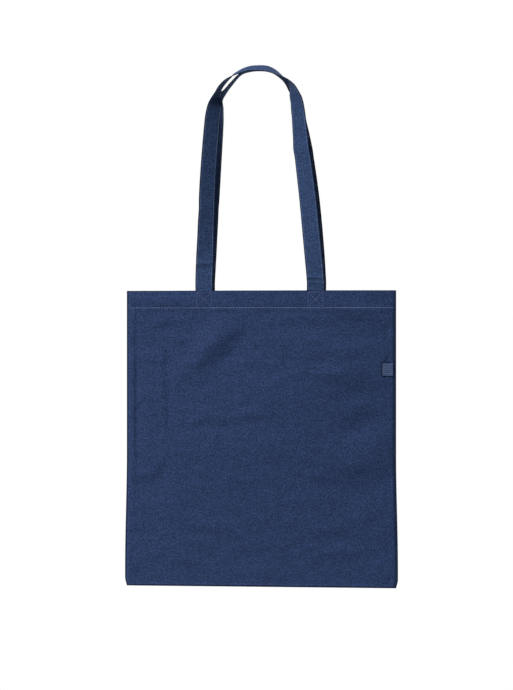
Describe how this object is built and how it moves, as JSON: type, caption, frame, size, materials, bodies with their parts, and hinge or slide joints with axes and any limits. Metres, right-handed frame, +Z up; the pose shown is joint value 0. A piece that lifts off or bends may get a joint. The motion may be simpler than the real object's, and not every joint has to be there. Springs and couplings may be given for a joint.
{
  "type": "non-woven tote bag",
  "caption": "Flat, unlined carrier bag of non-woven fabric with an open mouth, a folded hem and long strap handles, hanging by its handles.",
  "frame": {"origin": "underside of the two handles at their highest point, where the bag hangs on a hook or a hand", "axes": "+Z up along the hanging bag, +X to the bag's right seen from the front, -Y out of the front panel"},
  "size_m": [0.3852, 0.05, 0.7329],
  "materials": {
    "panel_fabric": "matt dark blue non-woven fabric with a fine embossed mottle",
    "strap_fabric": "matt dark blue non-woven fabric folded to a strap",
    "ribbon": "plain grey-blue ribbed ribbon"
  },
  "bodies": {
    "root": {"bag_body": "panel_fabric", "front_handle": "strap_fabric", "back_handle": "strap_fabric", "side_label": "ribbon"}
  },
  "joints": []
}
